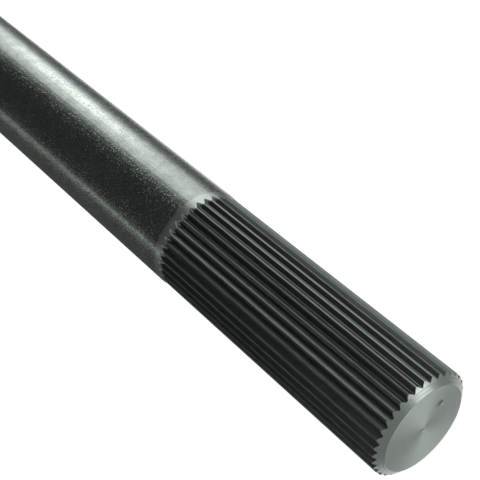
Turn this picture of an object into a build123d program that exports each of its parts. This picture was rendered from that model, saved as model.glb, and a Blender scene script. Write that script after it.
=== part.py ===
from build123d import *

import math
import os

# Splined shaft: one piece of round steel bar, machined at one end for a serrated hub.
#
# From the plain end upwards: a chamfered plain end, the ground body, a low shoulder
# cone down to the serration's crest diameter, then the serrated length with its steep
# end chamfer. Every groove runs out to a point just short of the shoulder, so each
# crest land opens there into a triangle. The splined end is faced flat, with the small
# pip that a facing tool leaves on the axis and one shallow round test dent beside it.
#
# Frame: origin at the centre of the plain end's face, +Z along the axis towards the
# splined end, +X through the middle of a crest land. Millimetres.

# Driving dimensions
overall_length = 203.2
body_diameter = 19.05
plain_chamfer = 1.0

spline_length = 53.6            # splined end's face to the foot of the shoulder
crest_diameter = 18.76
shoulder_length = 0.95          # axial length of the cone up to the body diameter
end_chamfer_length = 1.1        # along the axis
end_chamfer_width = 1.55        # across the radius

tooth_count = 36
groove_depth = 0.56
crest_land = 0.28               # flat width left on top of each tooth
root_width = 0.18               # flat width at the bottom of each groove
runout_length = 1.05            # axial length over which a groove rises to nothing
runout_gap = 0.06               # plain ring between a groove's point and the shoulder

pip_diameter = 0.5
pip_height = 0.08
dent_diameter = 1.5
dent_depth = 0.22
dent_offset = 4.6               # dent's centre from the axis
dent_angle = -68.0              # dent's direction from +X, degrees

# Worked out from the driving dimensions
body_radius = body_diameter / 2
crest_radius = crest_diameter / 2
root_radius = crest_radius - groove_depth
face_radius = crest_radius - end_chamfer_width
shoulder_foot = overall_length - spline_length
pitch_angle = 360 / tooth_count
land_angle = math.degrees(crest_land / crest_radius)
cutter_overrun = 1.0            # how far the cutter stands clear of the metal


def shaft_blank():
    """The turned bar, revolved from its half section."""
    half_section = Polyline(
        (0, 0, 0),
        (body_radius - plain_chamfer, 0, 0),
        (body_radius, 0, plain_chamfer),
        (body_radius, 0, shoulder_foot - shoulder_length),
        (crest_radius, 0, shoulder_foot),
        (crest_radius, 0, overall_length - end_chamfer_length),
        (face_radius, 0, overall_length),
        (0, 0, overall_length),
        close=True,
    )
    return revolve(make_face(half_section), Axis.Z, 360)


def groove_section():
    """One groove's V, lying in the XY plane and opening along +X, with its flat root."""
    groove_half_angle = math.radians((pitch_angle - land_angle) / 2)
    mouth_x = crest_radius * math.cos(groove_half_angle)
    mouth_y = crest_radius * math.sin(groove_half_angle)
    flank_slope = (mouth_y - root_width / 2) / (mouth_x - root_radius)
    outer_x = crest_radius + cutter_overrun
    outer_y = mouth_y + flank_slope * (outer_x - mouth_x)
    outline = Polyline(
        (root_radius, -root_width / 2),
        (outer_x, -outer_y),
        (outer_x, outer_y),
        (root_radius, root_width / 2),
        close=True,
    )
    return make_face(outline)


def groove_cutter():
    """The solid that one groove removes: a straight run and a rising run-out."""
    runout_start = shoulder_foot + runout_gap + runout_length
    section = Pos(0, 0, runout_start) * groove_section()
    straight = extrude(section, overall_length - runout_start + cutter_overrun)
    rise = Vector(groove_depth, 0, -runout_length)
    runout = extrude(section, rise.length * (1 + cutter_overrun / groove_depth), dir=rise)
    return straight + runout


def serration(blank):
    """The blank with all its grooves cut, a crest land centred on +X."""
    cutter = groove_cutter()
    first_groove = pitch_angle / 2
    cutters = [Rot(0, 0, first_groove + i * pitch_angle) * cutter for i in range(tooth_count)]
    return blank - cutters


def facing_pip():
    """The low cone left on the axis of the splined end's face."""
    pip_radius = pip_diameter / 2
    cone = Cone(pip_radius, pip_radius / 2, pip_height, align=(Align.CENTER, Align.CENTER, Align.MIN))
    return Pos(0, 0, overall_length) * cone


def test_dent():
    """The shallow round dent beside the axis, as a ball that touches the face."""
    dent_radius = dent_diameter / 2
    ball_radius = (dent_radius**2 + dent_depth**2) / (2 * dent_depth)
    ball_height = overall_length - dent_depth + ball_radius
    return Rot(0, 0, dent_angle) * Pos(dent_offset, 0, ball_height) * Sphere(ball_radius)


def splined_shaft():
    """The finished shaft."""
    return serration(shaft_blank()) + facing_pip() - test_dent()


os.makedirs("parts", exist_ok=True)
shaft = splined_shaft()
print("solids", len(shaft.solids()), "volume mm3", round(shaft.volume, 1), "valid", shaft.is_valid)
export_step(shaft.solid(), "parts/splined_shaft.step")
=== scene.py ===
"""Looks of the splined shaft: its finished surfaces, the floor, the light and the camera."""

import math

import bpy
from mathutils import Matrix, Vector


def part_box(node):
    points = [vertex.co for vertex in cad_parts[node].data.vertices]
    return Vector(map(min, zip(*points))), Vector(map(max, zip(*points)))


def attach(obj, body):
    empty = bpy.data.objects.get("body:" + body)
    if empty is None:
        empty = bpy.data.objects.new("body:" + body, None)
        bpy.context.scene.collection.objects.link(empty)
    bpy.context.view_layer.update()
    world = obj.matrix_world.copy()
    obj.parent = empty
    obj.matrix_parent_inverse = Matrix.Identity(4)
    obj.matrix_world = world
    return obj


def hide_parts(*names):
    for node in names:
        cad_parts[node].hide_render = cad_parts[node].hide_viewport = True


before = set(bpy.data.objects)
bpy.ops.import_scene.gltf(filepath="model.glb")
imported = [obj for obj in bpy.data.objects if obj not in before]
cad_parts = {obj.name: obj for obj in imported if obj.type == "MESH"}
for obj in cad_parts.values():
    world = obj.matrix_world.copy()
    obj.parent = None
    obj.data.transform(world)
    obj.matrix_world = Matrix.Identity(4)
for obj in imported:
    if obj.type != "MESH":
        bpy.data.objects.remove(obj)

MM = 0.001

# Sizes of the shaft, in metres. The body's radius and the whole height come from the frame.
CAD_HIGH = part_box("splined_shaft")[1]
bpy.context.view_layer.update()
BODY_RADIUS = CAD_HIGH.x
PIP_HEIGHT = 0.08 * MM
FACE_HEIGHT = CAD_HIGH.z - PIP_HEIGHT
PLAIN_CHAMFER = 1.0 * MM
CREST_RADIUS = 9.38 * MM
SPLINE_LENGTH = 53.6 * MM
SHOULDER_LENGTH = 0.95 * MM
END_CHAMFER_LENGTH = 1.1 * MM
END_CHAMFER_WIDTH = 1.55 * MM
TOOTH_COUNT = 36
GROOVE_DEPTH = 0.56 * MM
CREST_LAND = 0.28 * MM
ROOT_WIDTH = 0.18 * MM
RUNOUT_LENGTH = 1.05 * MM
RUNOUT_GAP = 0.06 * MM
PIP_RADIUS = 0.25 * MM
DENT_RADIUS = 0.75 * MM
DENT_DEPTH = 0.22 * MM
DENT_OFFSET = 4.6 * MM
DENT_ANGLE = math.radians(-68)

# Small roundings that only the looks need
CREST_ROUNDING = 0.10 * MM
ROOT_ROUNDING = 0.12 * MM
ROUNDING_STEPS = 4
FACE_EDGE_ROUNDING = 0.06 * MM
FACE_RINGS = 70
PLAIN_END_RING = 0.55              # the plain end's inner ring, as a share of the body's radius
MIN_RUNOUT_DEPTH = 0.01 * MM

ROOT_RADIUS = CREST_RADIUS - GROOVE_DEPTH
FACE_RADIUS = CREST_RADIUS - END_CHAMFER_WIDTH
SHOULDER_FOOT = FACE_HEIGHT - SPLINE_LENGTH
FULL_DEPTH_START = SHOULDER_FOOT + RUNOUT_GAP + RUNOUT_LENGTH
PITCH = 2 * math.pi / TOOTH_COUNT


def rounded_corner(before, corner, after, radius, steps):
    """Points of the arc that rounds a corner between two straight lines."""
    into = (before - corner).normalized()
    out = (after - corner).normalized()
    half_open = into.angle(out) / 2
    reach = radius / math.tan(half_open)
    centre = corner + (into + out).normalized() * (radius / math.sin(half_open))
    start = corner + into * reach - centre
    end = corner + out * reach - centre
    turn = start.angle(end)
    arc = []
    for i in range(steps + 1):
        share = i / steps
        mix = (start * math.sin((1 - share) * turn) + end * math.sin(share * turn)) / math.sin(turn)
        arc.append(centre + mix)
    return arc


def half_tooth():
    """Section of half a tooth, from the middle of its crest land to the middle of the groove."""
    land_half = CREST_LAND / CREST_RADIUS / 2
    groove_mid = PITCH / 2
    crest = Vector((CREST_RADIUS, 0))
    land_edge = Vector((math.cos(land_half), math.sin(land_half))) * CREST_RADIUS
    root_mid = Vector((math.cos(groove_mid), math.sin(groove_mid))) * ROOT_RADIUS
    along_root = Vector((math.sin(groove_mid), -math.cos(groove_mid)))
    root_edge = root_mid + along_root * (ROOT_WIDTH / 2)
    points = [crest]
    points += rounded_corner(crest, land_edge, root_edge, CREST_ROUNDING, ROUNDING_STEPS)
    points += rounded_corner(land_edge, root_edge, root_mid, ROOT_ROUNDING, ROUNDING_STEPS)
    points.append(root_mid)
    return points


def columns():
    """(angle, radius) of every line of the mesh that runs along the shaft, once round."""
    side = [(math.atan2(p.y, p.x), min(p.length, CREST_RADIUS)) for p in half_tooth()]
    tooth = [(-angle, radius) for angle, radius in reversed(side[1:-1])] + side
    once_round = []
    for i in range(TOOTH_COUNT):
        once_round += [(i * PITCH + angle, radius) for angle, radius in tooth]
    return once_round


def column_rows(radius):
    """(height, radius, part) of one column's points, from the plain end up to the face."""
    shoulder_top = SHOULDER_FOOT - SHOULDER_LENGTH
    # Even a crest's own lines keep a sliver of depth, so that no face of the run-out is empty
    depth = max(CREST_RADIUS - radius, MIN_RUNOUT_DEPTH)
    runout_height = FULL_DEPTH_START - RUNOUT_LENGTH * depth / GROOVE_DEPTH
    chamfer_slope = END_CHAMFER_LENGTH / END_CHAMFER_WIDTH
    chamfer_height = FACE_HEIGHT - chamfer_slope * (radius - FACE_RADIUS)
    edge = FACE_EDGE_ROUNDING
    return [
        (0, PLAIN_END_RING * BODY_RADIUS, "plain_end"),
        (0, BODY_RADIUS - PLAIN_CHAMFER, "plain_end"),
        (PLAIN_CHAMFER, BODY_RADIUS, "chamfer"),
        (0.5 * shoulder_top, BODY_RADIUS, "body"),
        (shoulder_top, BODY_RADIUS, "body"),
        (SHOULDER_FOOT, CREST_RADIUS, "shoulder"),
        (runout_height, CREST_RADIUS, "shoulder"),
        (FULL_DEPTH_START, radius, "teeth"),
        (0.5 * (FULL_DEPTH_START + chamfer_height), radius, "teeth"),
        (chamfer_height, radius, "teeth"),
        (FACE_HEIGHT - chamfer_slope * edge, FACE_RADIUS + edge, "chamfer"),
        (FACE_HEIGHT - 0.15 * chamfer_slope * edge, FACE_RADIUS, "chamfer"),
        (FACE_HEIGHT, FACE_RADIUS - edge, "chamfer"),
    ]


def face_height(x, y):
    """Height of the splined end's face, with its centre pip and its dent."""
    from_axis = math.hypot(x, y)
    pip = PIP_HEIGHT * min(1, 2 * max(0, 1 - from_axis / PIP_RADIUS))
    dent_x, dent_y = DENT_OFFSET * math.cos(DENT_ANGLE), DENT_OFFSET * math.sin(DENT_ANGLE)
    from_dent = math.hypot(x - dent_x, y - dent_y)
    dent = DENT_DEPTH * max(0, 1 - (from_dent / DENT_RADIUS) ** 2) ** 1.5
    return FACE_HEIGHT + pip - dent


# The parts of the surface, each with its own material
SLOTS = ["plain_end", "body", "shoulder", "teeth", "chamfer", "face"]


def shaft_mesh():
    """The whole shaft as one closed mesh, and the material slot of each of its faces."""
    around = columns()
    count = len(around)
    vertices, faces, slots = [(0, 0, 0)], [], []

    def ring_start(ring):
        return 1 + ring * count

    def join(ring, part):
        low, high = ring_start(ring - 1), ring_start(ring)
        for c in range(count):
            n = (c + 1) % count
            faces.append((low + c, low + n, high + n, high + c))
            slots.append(SLOTS.index(part))

    profiles = [column_rows(radius) for angle, radius in around]
    row_count = len(profiles[0])
    for row in range(row_count):
        for (angle, _), profile in zip(around, profiles):
            height, radius, part = profile[row]
            vertices.append((radius * math.cos(angle), radius * math.sin(angle), height))
    for c in range(count):
        faces.append((0, ring_start(0) + (c + 1) % count, ring_start(0) + c))
        slots.append(SLOTS.index("plain_end"))
    for row in range(1, row_count):
        join(row, profiles[0][row][2])

    rim = FACE_RADIUS - FACE_EDGE_ROUNDING
    for ring in range(1, FACE_RINGS):
        radius = rim * (1 - ring / FACE_RINGS)
        for angle, _ in around:
            x, y = radius * math.cos(angle), radius * math.sin(angle)
            vertices.append((x, y, face_height(x, y)))
        join(row_count + ring - 1, "face")
    vertices.append((0, 0, face_height(0, 0)))
    last = ring_start(row_count + FACE_RINGS - 2)
    for c in range(count):
        faces.append((last + c, last + (c + 1) % count, len(vertices) - 1))
        slots.append(SLOTS.index("face"))

    mesh = bpy.data.meshes.new("shaft_surface")
    mesh.from_pydata(vertices, [], faces)
    mesh.polygons.foreach_set("material_index", slots)
    mesh.polygons.foreach_set("use_smooth", [True] * len(faces))
    mesh.update()
    return mesh


SHARP_ANGLE = math.radians(22)


def build_shaft():
    """The detailed shaft, in place of the CAD solid."""
    shaft = bpy.data.objects.new("shaft_surface", shaft_mesh())
    bpy.context.scene.collection.objects.link(shaft)
    shaft.data.set_sharp_from_angle(angle=SHARP_ANGLE)
    weighting = shaft.modifiers.new("even_normals", "WEIGHTED_NORMAL")
    weighting.keep_sharp = True
    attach(shaft, "root")
    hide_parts("splined_shaft")
    return shaft


# Materials

class Surface:
    """A node material with one Principled shader, and short ways to add nodes to it."""

    def __init__(self, name):
        self.material = bpy.data.materials.new(name)
        self.material.use_nodes = True
        self.tree = self.material.node_tree
        self.shader = self.tree.nodes["Principled BSDF"]

    def node(self, kind, **settings):
        made = self.tree.nodes.new(kind)
        for name, value in settings.items():
            setattr(made, name, value)
        return made

    def link(self, source, target):
        self.tree.links.new(source, target)

    def value(self, kind, first, second=0.5):
        """A Math node of one kind, from numbers or sockets."""
        made = self.node("ShaderNodeMath", operation=kind)
        for i, entry in enumerate((first, second)):
            if isinstance(entry, bpy.types.NodeSocket):
                self.link(entry, made.inputs[i])
            else:
                made.inputs[i].default_value = entry
        return made.outputs[0]

    def place(self):
        """Position in the shaft's own frame, in millimetres."""
        coords = self.node("ShaderNodeTexCoord")
        scaled = self.node("ShaderNodeVectorMath", operation="SCALE")
        scaled.inputs["Scale"].default_value = 1 / MM
        self.link(coords.outputs["Object"], scaled.inputs[0])
        return scaled.outputs[0]

    def around(self, place):
        """(distance from the axis, angle, height) sockets of a position."""
        parts = self.node("ShaderNodeSeparateXYZ")
        self.link(place, parts.inputs[0])
        x, y, z = parts.outputs
        squared = self.value("ADD", self.value("MULTIPLY", x, x), self.value("MULTIPLY", y, y))
        return self.value("SQRT", squared), self.value("ARCTAN2", y, x), z

    def vector(self, x, y, z):
        made = self.node("ShaderNodeCombineXYZ")
        for i, entry in enumerate((x, y, z)):
            if isinstance(entry, bpy.types.NodeSocket):
                self.link(entry, made.inputs[i])
            else:
                made.inputs[i].default_value = entry
        return made.outputs[0]

    def noise(self, where, scale, detail=2.0, roughness=0.5):
        made = self.node("ShaderNodeTexNoise")
        made.inputs["Scale"].default_value = scale
        made.inputs["Detail"].default_value = detail
        made.inputs["Roughness"].default_value = roughness
        self.link(where, made.inputs["Vector"])
        return made.outputs["Fac"]

    def ramp(self, source, low, high, start, end):
        """source from low..high carried to start..end, clamped."""
        made = self.node("ShaderNodeMapRange")
        self.link(source, made.inputs["Value"])
        for name, value in zip(("From Min", "From Max", "To Min", "To Max"), (low, high, start, end)):
            made.inputs[name].default_value = value
        return made.outputs["Result"]

    def tint(self, share, first, second):
        made = self.node("ShaderNodeMix", data_type="RGBA")
        self.link(share, made.inputs["Factor"])
        made.inputs["A"].default_value = (*first, 1)
        made.inputs["B"].default_value = (*second, 1)
        return made.outputs["Result"]

    def blend(self, share, color, second):
        """A colour socket carried towards a second colour."""
        made = self.node("ShaderNodeMix", data_type="RGBA")
        self.link(share, made.inputs["Factor"])
        self.link(color, made.inputs["A"])
        made.inputs["B"].default_value = (*second, 1)
        return made.outputs["Result"]

    def closeness(self, place, centre, radius):
        """1 at a point and 0 beyond a radius from it, in millimetres."""
        made = self.node("ShaderNodeVectorMath", operation="DISTANCE")
        self.link(place, made.inputs[0])
        made.inputs[1].default_value = centre
        return self.ramp(made.outputs["Value"], 0.0, radius, 1.0, 0.0)

    def bump(self, height, distance, under=None):
        """distance is in metres for a height of 1."""
        made = self.node("ShaderNodeBump")
        made.inputs["Strength"].default_value = 1.0
        made.inputs["Distance"].default_value = distance
        self.link(height, made.inputs["Height"])
        if under is not None:
            self.link(under, made.inputs["Normal"])
        return made.outputs["Normal"]

    def finish(self, color, roughness, normal, anisotropic=0.0):
        self.link(color, self.shader.inputs["Base Color"])
        self.link(roughness, self.shader.inputs["Roughness"])
        self.link(normal, self.shader.inputs["Normal"])
        self.shader.inputs["Metallic"].default_value = 1.0
        self.shader.inputs["Anisotropic"].default_value = anisotropic
        if anisotropic:
            # A quarter turn: round marks spread the light across themselves, along the radius
            self.shader.inputs["Anisotropic Rotation"].default_value = 0.25
            tangent = self.node("ShaderNodeTangent", direction_type="RADIAL", axis="Z")
            self.link(tangent.outputs[0], self.shader.inputs["Tangent"])
        return self.material


STEEL_DARK = (0.38, 0.43, 0.39)
STEEL_LIGHT = (0.50, 0.56, 0.52)
PLAIN_STEELS = (STEEL_DARK, STEEL_LIGHT)
# Painted highlight: the shoulder's run-out steel is painted much lighter than the body's, for the bright
# facets where the grooves run out
SHOULDER_HIGHLIGHT_DARK = (0.58, 0.64, 0.60)
SHOULDER_HIGHLIGHT_LIGHT = (0.62, 0.68, 0.64)
# Painted shade: dark steel round the dent in the splined face, where it dips
DENT_SHADE_STEEL = (0.16, 0.18, 0.17)
# Painted shade on the flanks down in the grooves and a painted highlight on the crests; both are darker
# than the body's steel
FLANK_SHADE_STEEL = (0.165, 0.19, 0.175)
CREST_HIGHLIGHT_STEEL = (0.30, 0.34, 0.315)


def ground_body():
    """Satin ground steel: fine grain round the bar and tiny pits."""
    s = Surface("ground_body")
    place = s.place()
    distance, angle, height = s.around(place)
    wrapped = s.vector(s.value("MULTIPLY", angle, BODY_RADIUS / MM), s.value("MULTIPLY", height, 2.0), 0.0)
    grain = s.noise(wrapped, 3.0, detail=4.0, roughness=0.6)
    pits = s.ramp(s.noise(place, 2.6, detail=2.0), 0.30, 0.42, 0.0, 1.0)
    clouds = s.ramp(s.noise(place, 0.5, detail=4.0, roughness=0.65), 0.35, 0.65, 0.0, 1.0)
    color = s.tint(clouds, STEEL_DARK, STEEL_LIGHT)
    roughness = s.ramp(grain, 0.3, 0.7, 0.22, 0.30)
    normal = s.bump(grain, 0.008 * MM)
    normal = s.bump(pits, 0.022 * MM, under=normal)
    return s.finish(color, roughness, normal)


def turned(
    name, marks_per_mm, depth, anisotropic, low, high,
    along_height=False, steels=PLAIN_STEELS, shade_spot=None,
):
    """Turned steel: feed marks round the axis, from low to high roughness.

    The last argument is the centre and radius, in millimetres, of painted shade: darker steel round the
    face's dent.
    """
    s = Surface(name)
    place = s.place()
    distance, angle, height = s.around(place)
    across = height if along_height else distance
    wobble = s.noise(s.vector(s.value("MULTIPLY", across, 2.5), 0.0, 0.0), 1.0, detail=3.0)
    marks = s.value("SINE", s.value("MULTIPLY", across, 2 * math.pi * marks_per_mm))
    relief = s.value("ADD", s.value("MULTIPLY", marks, 0.5), s.value("MULTIPLY", wobble, 1.5))
    fine = s.noise(s.vector(s.value("MULTIPLY", across, 30.0), s.value("MULTIPLY", angle, 1.5), 0.0), 1.0)
    color = s.tint(wobble, *steels)
    # Painted shade: darker steel round the dent
    if shade_spot:
        color = s.blend(s.closeness(place, *shade_spot), color, DENT_SHADE_STEEL)
    roughness = s.ramp(fine, 0.3, 0.7, low, high)
    normal = s.bump(relief, depth)
    normal = s.bump(fine, 0.4 * depth, under=normal)
    return s.finish(color, roughness, normal, anisotropic=anisotropic)


def cut_teeth():
    """Cut flanks: faint streaks along the teeth and cutter marks across them, with painted shade and a
    painted highlight: the teeth are painted darker than the body, darkest on the flanks down in the
    grooves, and lighter at the crests.
    """
    s = Surface("cut_teeth")
    place = s.place()
    distance, angle, height = s.around(place)
    streak_place = s.vector(s.value("MULTIPLY", angle, 120.0), s.value("MULTIPLY", height, 0.35), distance)
    streaks = s.noise(streak_place, 1.0, detail=3.0)
    chatter_place = s.vector(s.value("MULTIPLY", angle, 14.0), s.value("MULTIPLY", height, 3.2), 0.0)
    across = s.noise(chatter_place, 1.0, detail=2.0)
    # Painted highlight: the steel is lighter towards the crests, with streaks; the flanks below keep the
    # darker painted shade
    crest_highlight_share = s.ramp(distance, (CREST_RADIUS - 0.10 * MM) / MM, CREST_RADIUS / MM, 0.0, 1.0)
    streaked_crest_highlight = s.value("MULTIPLY", crest_highlight_share, s.ramp(streaks, 0.3, 0.7, 0.6, 1.0))
    color = s.tint(streaked_crest_highlight, FLANK_SHADE_STEEL, CREST_HIGHLIGHT_STEEL)
    roughness = s.ramp(streaks, 0.3, 0.7, 0.26, 0.40)
    normal = s.bump(streaks, 0.016 * MM)
    normal = s.bump(across, 0.030 * MM, under=normal)
    return s.finish(color, roughness, normal)


def dress(shaft):
    """One material for each part of the shaft's surface, in the order of SLOTS."""
    dent_centre = Vector((math.cos(DENT_ANGLE), math.sin(DENT_ANGLE), 0)) * DENT_OFFSET
    dent_centre.z = FACE_HEIGHT
    # Painted shade round the dent, a little wider than the dent itself
    dent_shade_spot = (dent_centre / MM, 1.3 * DENT_RADIUS / MM)
    made = {
        "plain_end": turned("turned_plain_end", 4.0, 0.002 * MM, 0.5, 0.30, 0.42),
        "body": ground_body(),
        # The shoulder is painted lighter than the body: a painted highlight on the run-out
        "shoulder": turned(
            "turned_shoulder", 2.4, 0.014 * MM, 0.3, 0.28, 0.38,
            along_height=True, steels=(SHOULDER_HIGHLIGHT_DARK, SHOULDER_HIGHLIGHT_LIGHT),
        ),
        "teeth": cut_teeth(),
        "chamfer": turned("turned_chamfer", 2.2, 0.020 * MM, 0.3, 0.32, 0.42),
        "face": turned("turned_face", 3.0, 0.004 * MM, 0.6, 0.32, 0.42, shade_spot=dent_shade_spot),
    }
    for name in SLOTS:
        shaft.data.materials.append(made[name])


# Stage

def link_new(name, data):
    made = bpy.data.objects.new(name, data)
    bpy.context.scene.collection.objects.link(made)
    return made


def studio_floor():
    """A pale floor that curves up into a low wall all round, so that every view ends in it."""
    flat, curve, wall = 2.2, 0.5, 0.4
    profile = [(0, 0), (0.3, 0), (flat, 0)]
    profile += [
        (flat + curve * math.sin(a), curve * (1 - math.cos(a)))
        for a in (math.radians(10 * i) for i in range(1, 10))
    ]
    profile.append((flat + curve, curve + wall))
    sides = 64
    vertices = [
        (r * math.cos(2 * math.pi * i / sides), r * math.sin(2 * math.pi * i / sides), z)
        for r, z in profile[1:]
        for i in range(sides)
    ]
    faces = [tuple(range(sides))]
    for ring in range(len(profile) - 2):
        for i in range(sides):
            j = (i + 1) % sides
            low, high = ring * sides, (ring + 1) * sides
            faces.append((low + i, high + i, high + j, low + j))
    mesh = bpy.data.meshes.new("studio_floor")
    mesh.from_pydata(vertices, [], faces)
    mesh.polygons.foreach_set("use_smooth", [True] * len(faces))
    floor = link_new("studio_floor", mesh)
    floor.data.materials.append(floor_paint())
    return floor


def floor_paint():
    """Matt pale paint, lifted to white where it is seen directly or in a reflection."""
    material = bpy.data.materials.new("floor_paint")
    material.use_nodes = True
    nodes, links = material.node_tree.nodes, material.node_tree.links
    paint = nodes["Principled BSDF"]
    paint.inputs["Base Color"].default_value = (0.8, 0.8, 0.8, 1)
    paint.inputs["Roughness"].default_value = 0.9
    paint.inputs["Specular IOR Level"].default_value = 0.0
    rays = nodes.new("ShaderNodeLightPath")
    seen = nodes.new("ShaderNodeMath")
    seen.operation = "MAXIMUM"
    links.new(rays.outputs["Is Camera Ray"], seen.inputs[0])
    links.new(rays.outputs["Is Glossy Ray"], seen.inputs[1])
    either = nodes.new("ShaderNodeMath")
    either.operation = "MAXIMUM"
    links.new(seen.outputs[0], either.inputs[0])
    links.new(rays.outputs["Is Transmission Ray"], either.inputs[1])
    lift = nodes.new("ShaderNodeMath")
    lift.operation = "MULTIPLY"
    links.new(either.outputs[0], lift.inputs[0])
    lift.inputs[1].default_value = 0.75
    links.new(lift.outputs[0], paint.inputs["Emission Strength"])
    paint.inputs["Emission Color"].default_value = (1, 1, 1, 1)
    return material


def soft_box(name, place, aim, width, height, radiance):
    """A soft box of even brightness that faces a point. It lights but isn't in the picture."""
    light = bpy.data.lights.new(name, "AREA")
    light.shape = "RECTANGLE"
    light.size = width
    light.size_y = height
    light.energy = radiance * math.pi * width * height
    made = link_new(name, light)
    made.location = place
    made.rotation_mode = "QUATERNION"
    made.rotation_quaternion = (Vector(aim) - Vector(place)).to_track_quat("-Z", "Y")
    made.visible_camera = False
    return made


CAMERA_AZIMUTH = 3.9               # degrees, from +X; turns the lamps and cards too
CAMERA_LENS = 82.55                # millimetres, on a 36 mm sensor
# For an azimuth of 0. The stand-off from the splined face's centre is in crest radii.
CAMERA_STAND_OFF = (16.187, 0, 6.9013)
CAMERA_RIGHT = (-0.442825, -0.643517, 0.624334)
CAMERA_UP = (0.397418, -0.765064, -0.506692)

# Matt cards just above the floor round the shaft, hidden from the camera, from shadows and from diffuse
# light, so that they only paint dark reflections in the steel:
# (name, from, to, grey), in degrees from the camera's side towards -Y. The white floor shows in the steel
# everywhere else.
CARDS = [
    ("dark_card", -76, 30, 0.10),
    ("edge_card", 30, 46, 0.30),
    ("far_card", 100, 145, 0.30),
    ("left_card", -165, -81, 0.22),
]


def floor_card(name, start, end, grey):
    """A flat ring sector just above the floor, which keeps the white floor out of the steel: a painted
    dark reflection, seen by no camera, shadow or diffuse ray.
    """
    inner, outer, steps, height = 0.012, 1.2, 24, 1 * MM
    vertices, faces = [], []
    for i in range(steps + 1):
        a = math.radians(CAMERA_AZIMUTH - end + (end - start) * i / steps)
        vertices += [(r * math.cos(a), r * math.sin(a), height) for r in (inner, outer)]
    for i in range(steps):
        faces.append((2 * i, 2 * i + 1, 2 * i + 3, 2 * i + 2))
    mesh = bpy.data.meshes.new(name)
    mesh.from_pydata(vertices, [], faces)
    card = link_new(name, mesh)
    s = Surface(name)
    s.shader.inputs["Base Color"].default_value = (grey, grey, grey, 1)
    s.shader.inputs["Roughness"].default_value = 0.9
    s.shader.inputs["Specular IOR Level"].default_value = 0
    card.data.materials.append(s.material)
    card.visible_camera = False
    card.visible_diffuse = False
    card.visible_shadow = False
    return card


WORLD_STRENGTH = 0.26
LAMP_DISTANCE = 0.8                # of the key and face lights from the splined face
KEY_WAY = (-0.05, -0.45, 0.89)     # both ways are for a camera azimuth of 0
FACE_LIGHT_WAY = (-0.749, -0.069, 0.658)
SIDE_LIGHT_ANGLE = math.radians(-78)
SIDE_LIGHT_DISTANCE = 0.08
SIDE_LIGHT_HEIGHT = 0.028
SIDE_LIGHT_AIM = (0, 0, 0.060)


def light_the_shaft():
    """The world, the lamps and the cards."""
    world = bpy.data.worlds.new("studio")
    world.use_nodes = True
    world.node_tree.nodes["Background"].inputs["Color"].default_value = (1, 1, 1, 1)
    world.node_tree.nodes["Background"].inputs["Strength"].default_value = WORLD_STRENGTH
    bpy.context.scene.world = world
    turn = Matrix.Rotation(math.radians(CAMERA_AZIMUTH), 3, "Z")
    face = Vector((0, 0, FACE_HEIGHT))
    key_way = turn @ Vector(KEY_WAY).normalized()
    soft_box("key_light", face + key_way * LAMP_DISTANCE, face, 0.30, 0.30, 3.4)
    mirror_way = turn @ Vector(FACE_LIGHT_WAY)
    soft_box("face_light", face + mirror_way * LAMP_DISTANCE, face, 0.20, 0.20, 2.2)
    side = turn @ Vector((math.cos(SIDE_LIGHT_ANGLE), math.sin(SIDE_LIGHT_ANGLE), 0))
    low = side * SIDE_LIGHT_DISTANCE + Vector((0, 0, SIDE_LIGHT_HEIGHT))
    soft_box("side_light", low, SIDE_LIGHT_AIM, 0.030, 0.045, 1.45)
    for card in CARDS:
        floor_card(*card)


def set_camera():
    """The camera looks down on the splined end along the photograph's line of sight."""
    turn = Matrix.Rotation(math.radians(CAMERA_AZIMUTH), 3, "Z")
    right = turn @ Vector(CAMERA_RIGHT)
    up = turn @ Vector(CAMERA_UP)
    back = right.cross(up)
    stand_off = Vector(CAMERA_STAND_OFF) * CREST_RADIUS
    location = Vector((0, 0, FACE_HEIGHT)) + turn @ stand_off
    camera = link_new("camera", bpy.data.cameras.new("camera"))
    camera.matrix_world = Matrix.Translation(location) @ Matrix((right, up, back)).transposed().to_4x4()
    camera.data.sensor_width = 36
    camera.data.lens = CAMERA_LENS
    camera.data.clip_start = 0.01
    bpy.context.scene.camera = camera


bpy.context.scene.view_settings.view_transform = "Standard"
shaft = build_shaft()
dress(shaft)
studio_floor()
light_the_shaft()
set_camera()
